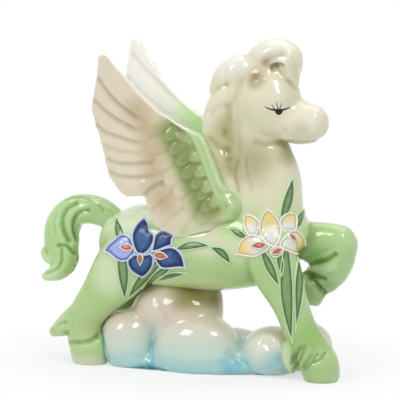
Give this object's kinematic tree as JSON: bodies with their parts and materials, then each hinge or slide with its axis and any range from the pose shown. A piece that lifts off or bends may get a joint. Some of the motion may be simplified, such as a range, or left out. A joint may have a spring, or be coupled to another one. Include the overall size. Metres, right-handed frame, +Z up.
{
  "type": "winged horse figurine",
  "caption": "Glazed porcelain winged pony stepping over a cloud base, with raised wings, a curled tail and relief irises on its flank.",
  "frame": {"origin": "middle of the footprint, on the surface that the figurine stands on", "axes": "+X is the way the pegasus faces, +Z is up, and -Y is its right side, which carries the flowers"},
  "size_m": [0.1661, 0.0502, 0.1698],
  "materials": {
    "green_glaze": "clear gloss glaze over a pale apple-green wash, darker where it pools",
    "ivory_glaze": "clear gloss glaze over ivory porcelain, with an olive tint in the hollows",
    "wing_glaze": "gloss glaze, beige flight feathers shading to green coverts",
    "cloud_glaze": "gloss glaze, rose-beige above and aqua to turquoise in the clefts",
    "blue_enamel": "deep blue gloss enamel inside a raised pale slip line",
    "lavender_enamel": "lavender gloss enamel inside a raised pale slip line",
    "cream_enamel": "cream gloss enamel with yellow tips inside a raised white slip line",
    "orange_enamel": "orange gloss enamel",
    "leaf_enamel": "translucent leaf-green gloss enamel inside a raised pale green slip line"
  },
  "bodies": {
    "root": {"torso": "green_glaze", "neck": "ivory_glaze", "head": "ivory_glaze", "left_foreleg": "green_glaze", "right_foreleg": "green_glaze", "right_hind_leg": "green_glaze", "left_hind_leg": "green_glaze", "tail": "green_glaze", "cloud_base": "cloud_glaze", "right_wing": "wing_glaze", "left_wing": "wing_glaze", "mane": "ivory_glaze", "forelock": "ivory_glaze", "right_ear": "ivory_glaze", "left_ear": "ivory_glaze", "blue_iris_left_beard": "orange_enamel", "blue_iris_lower_beard": "orange_enamel", "blue_iris_right_beard": "orange_enamel", "blue_iris_centre_standard": "blue_enamel", "blue_iris_right_standard": "blue_enamel", "blue_iris_left_fall": "lavender_enamel", "blue_iris_lower_fall": "blue_enamel", "blue_iris_right_fall": "blue_enamel", "ivory_iris_left_beard": "orange_enamel", "ivory_iris_lower_beard": "orange_enamel", "ivory_iris_right_beard": "orange_enamel", "ivory_iris_centre_standard": "cream_enamel", "ivory_iris_left_standard": "cream_enamel", "ivory_iris_right_standard": "cream_enamel", "ivory_iris_lower_fall": "cream_enamel", "ivory_iris_left_fall": "cream_enamel", "ivory_iris_right_fall": "cream_enamel", "rump_leaf": "leaf_enamel", "thigh_leaf": "leaf_enamel", "stifle_leaf": "leaf_enamel", "groin_leaf": "leaf_enamel", "belly_leaf": "leaf_enamel", "flank_leaf": "leaf_enamel", "girth_leaf": "leaf_enamel", "elbow_leaf": "leaf_enamel", "throat_leaf": "leaf_enamel", "chest_leaf": "leaf_enamel", "forearm_leaf": "leaf_enamel", "forearm_bud_leaf": "leaf_enamel", "shin_leaf": "leaf_enamel", "shin_edge_leaf": "leaf_enamel"}
  },
  "joints": []
}
